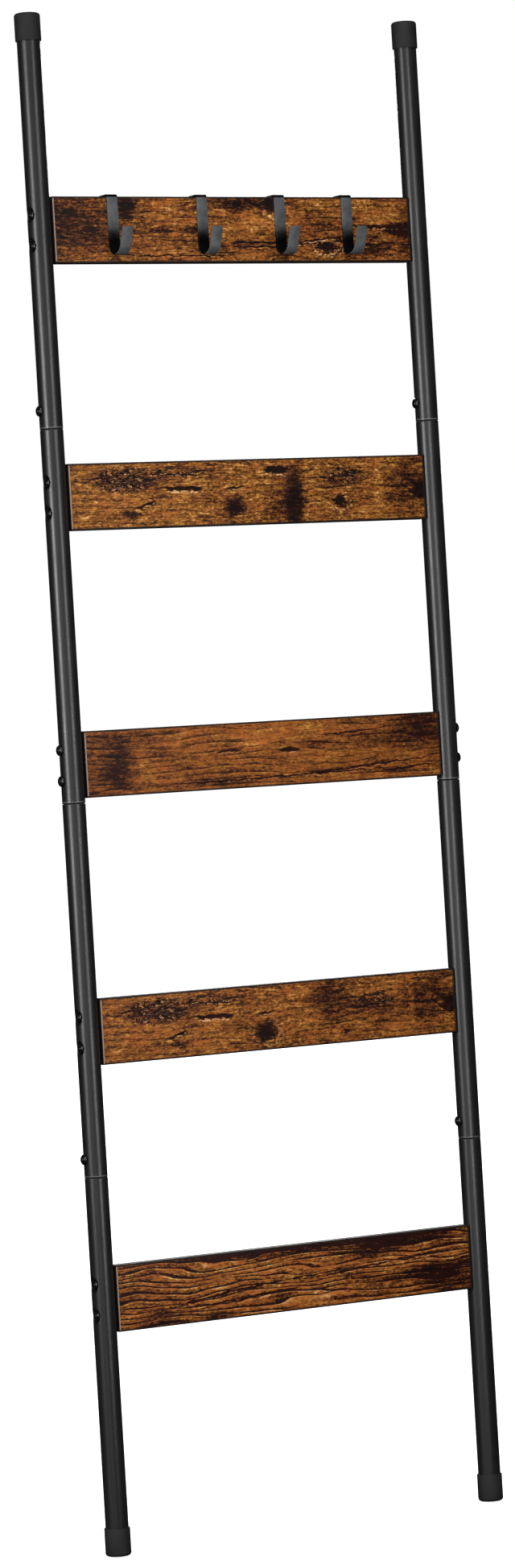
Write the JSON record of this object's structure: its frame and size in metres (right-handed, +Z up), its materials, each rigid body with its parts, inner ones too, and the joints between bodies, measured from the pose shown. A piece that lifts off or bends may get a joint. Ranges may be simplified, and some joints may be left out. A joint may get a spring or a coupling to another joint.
{
  "type": "blanket ladder",
  "caption": "Wall-leaning blanket ladder: sectioned black steel-tube uprights with capped ends, flat rustic-brown boards as rungs, and sliding hooks over the top board.",
  "frame": {"origin": "centre of the base: midway between the uprights, and midway between the feet's front and the top caps' back, at the level where the feet touch the floor", "axes": "+X along the boards to the right upright, +Y towards the wall that the ladder leans on, +Z up; the ladder leans 6.7 degrees"},
  "size_m": [0.5082, 0.2198, 1.6415],
  "materials": {
    "powder_coat": "satin black powder coat, fine texture",
    "rubber_cap": "matt black moulded rubber",
    "rustic_board": "rustic-brown wood-look laminate with knots and cracks, satin",
    "hook_coat": "dark grey satin coat on steel strip",
    "black_screw": "black oxide, semi-gloss",
    "zinc_nut": "zinc plated"
  },
  "bodies": {
    "ladder": {"board_1": "rustic_board", "board_2": "rustic_board", "board_3": "rustic_board", "board_4": "rustic_board", "board_5": "rustic_board", "left_board_1_screw_high": "black_screw", "left_board_1_screw_low": "black_screw", "left_board_2_screw_high": "black_screw", "left_board_2_screw_low": "black_screw", "left_board_3_screw_high": "black_screw", "left_board_3_screw_low": "black_screw", "left_board_4_screw_high": "black_screw", "left_board_4_screw_low": "black_screw", "left_board_5_screw_high": "black_screw", "left_board_5_screw_low": "black_screw", "left_foot_cap": "rubber_cap", "left_lower_joint_nut": "zinc_nut", "left_lower_joint_screw": "black_screw", "left_top_cap": "rubber_cap", "left_upper_joint_nut": "zinc_nut", "left_upper_joint_screw": "black_screw", "left_upright_bottom": "powder_coat", "left_upright_lower_mid": "powder_coat", "left_upright_top": "powder_coat", "left_upright_upper_mid": "powder_coat", "right_board_1_screw_high": "black_screw", "right_board_1_screw_low": "black_screw", "right_board_2_screw_high": "black_screw", "right_board_2_screw_low": "black_screw", "right_board_3_screw_high": "black_screw", "right_board_3_screw_low": "black_screw", "right_board_4_screw_high": "black_screw", "right_board_4_screw_low": "black_screw", "right_board_5_screw_high": "black_screw", "right_board_5_screw_low": "black_screw", "right_foot_cap": "rubber_cap", "right_lower_joint_nut": "zinc_nut", "right_lower_joint_screw": "black_screw", "right_top_cap": "rubber_cap", "right_upper_joint_nut": "zinc_nut", "right_upper_joint_screw": "black_screw", "right_upright_bottom": "powder_coat", "right_upright_lower_mid": "powder_coat", "right_upright_top": "powder_coat", "right_upright_upper_mid": "powder_coat"},
    "hook_1": {"hook_1": "hook_coat"},
    "hook_2": {"hook_2": "hook_coat"},
    "hook_3": {"hook_3": "hook_coat"},
    "hook_4": {"hook_4": "hook_coat"}
  },
  "joints": [
    {"name": "hook_1_slide", "type": "slide", "parent": "ladder", "child": "hook_1", "axis": [1, 0, 0], "range_m": [-0.065, 0.0485]},
    {"name": "hook_2_slide", "type": "slide", "parent": "ladder", "child": "hook_2", "axis": [1, 0, 0], "range_m": [-0.0485, 0.042]},
    {"name": "hook_3_slide", "type": "slide", "parent": "ladder", "child": "hook_3", "axis": [1, 0, 0], "range_m": [-0.042, 0.036]},
    {"name": "hook_4_slide", "type": "slide", "parent": "ladder", "child": "hook_4", "axis": [1, 0, 0], "range_m": [-0.036, 0.074]}
  ]
}
